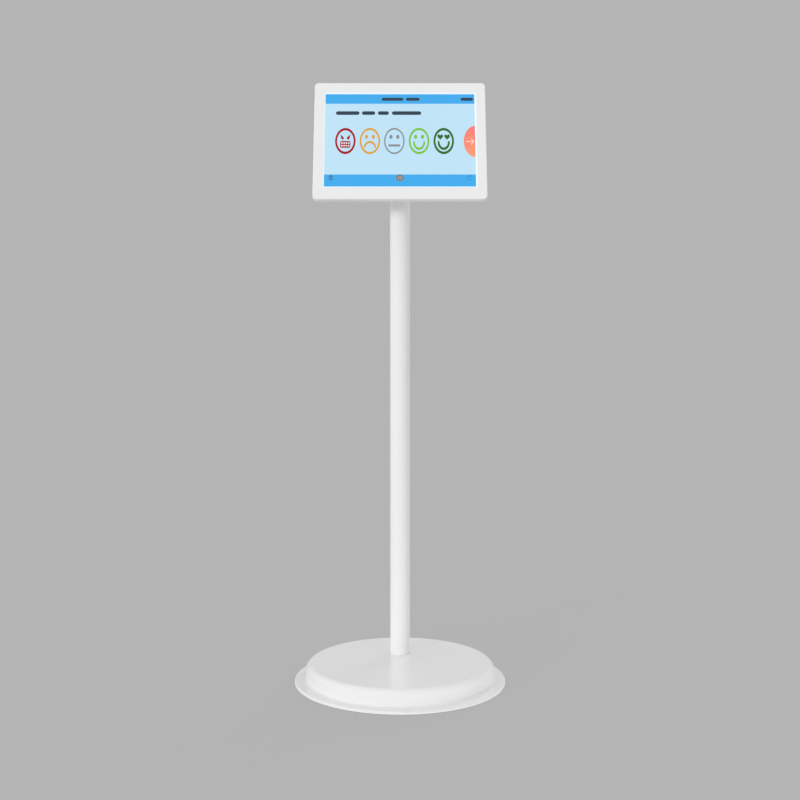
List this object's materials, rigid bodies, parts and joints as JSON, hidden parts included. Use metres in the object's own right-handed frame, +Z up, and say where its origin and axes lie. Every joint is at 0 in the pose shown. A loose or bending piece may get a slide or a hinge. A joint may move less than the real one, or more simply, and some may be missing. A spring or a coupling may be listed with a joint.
{
  "type": "customer feedback terminal",
  "caption": "Free-standing feedback kiosk: a tilting, turning touch screen on a round pole over a weighted round base.",
  "frame": {"origin": "on the floor under the centre of the round base", "axes": "+Z up, the screen faces -Y, +X to the viewer's right"},
  "size_m": [0.4, 0.4, 1.1263],
  "materials": {
    "base_paint": "satin white powder coat",
    "pole_paint": "semi-gloss white powder coat",
    "joint_paint": "fine-textured white powder coat",
    "ballast_steel": "black primer",
    "foot_rubber": "matt black rubber",
    "zinc_steel": "zinc-plated",
    "friction_plastic": "dark nylon",
    "bezel_white": "satin white moulded frame",
    "cover_white": "fine-textured white moulding",
    "key_grey": "light grey moulding",
    "gasket_foam": "white closed-cell foam",
    "cover_glass": "clear touch glass",
    "lit_screen": "lit colour panel",
    "clear_plate": "clear acrylic",
    "sheet_steel": "galvanised sheet",
    "board_green": "solder mask",
    "heatsink_alloy": "bare extruded fins",
    "port_metal": "plated shell",
    "black_plastic": "black moulding",
    "flex_film": "amber film"
  },
  "bodies": {
    "stand": {"base_cover": "base_paint", "ballast_plate": "ballast_steel", "rubber_feet": "foot_rubber", "cover_posts": "zinc_steel", "cover_screws": "zinc_steel", "pole_socket": "ballast_steel", "socket_screws": "zinc_steel", "base_grommet": "foot_rubber", "pole_tube": "pole_paint", "grub_screws": "zinc_steel", "pole_grommet": "foot_rubber", "pole_head": "joint_paint", "pole_head_screws": "zinc_steel", "tilt_stop_pin": "zinc_steel"},
    "bracket": {"tilt_bracket": "joint_paint", "pivot_bolt": "zinc_steel", "pivot_springs": "zinc_steel", "pivot_nut": "zinc_steel", "friction_washers": "friction_plastic"},
    "head": {"vesa_plate": "joint_paint", "vesa_screws": "zinc_steel", "swivel_bolt": "zinc_steel", "swivel_washer": "zinc_steel", "swivel_springs": "zinc_steel", "swivel_nut": "zinc_steel", "turn_stop_pin": "zinc_steel", "vesa_pillars": "zinc_steel", "case_screws": "zinc_steel", "board_standoffs": "zinc_steel", "board_screws": "zinc_steel", "rocker_pin": "zinc_steel", "swivel_disc": "friction_plastic", "front_bezel": "bezel_white", "rear_cover": "cover_white", "glass_gasket": "gasket_foam", "touch_glass": "cover_glass", "lcd_panel": "lit_screen", "light_guide": "clear_plate", "backlight_tray": "sheet_steel", "chassis_plate": "sheet_steel", "main_board": "board_green", "button_board": "board_green", "heat_spreader": "heatsink_alloy", "usb_a_port": "port_metal", "usb_c_port": "port_metal", "dc_inlet": "black_plastic", "speakers": "black_plastic", "antenna": "black_plastic", "display_flex": "flex_film"},
    "power_button": {"power_button": "key_grey"},
    "volume_rocker": {"volume_rocker": "key_grey"}
  },
  "joints": [
    {"name": "head_tilt", "type": "hinge", "parent": "stand", "child": "bracket", "pos_m": [0, 0.0546, 0.9887], "axis": [-1, 0, 0], "range_deg": [-18.8, 71.2]},
    {"name": "head_turn", "type": "hinge", "parent": "bracket", "child": "head", "pos_m": [0, 0.0546, 0.9887], "axis": [0, -0.9466, 0.3223], "range_deg": [0, 90]},
    {"name": "power_press", "type": "slide", "parent": "head", "child": "power_button", "axis": [0, -0.9466, 0.3223], "range_m": [0, 0.0008], "stiffness_N_per_m": 2500},
    {"name": "volume_rock", "type": "hinge", "parent": "head", "child": "volume_rocker", "pos_m": [0.105, 0.0083, 1.01714], "axis": [1, 0, 0], "range_deg": [-3, 3], "stiffness_Nm_per_rad": 0.3}
  ]
}
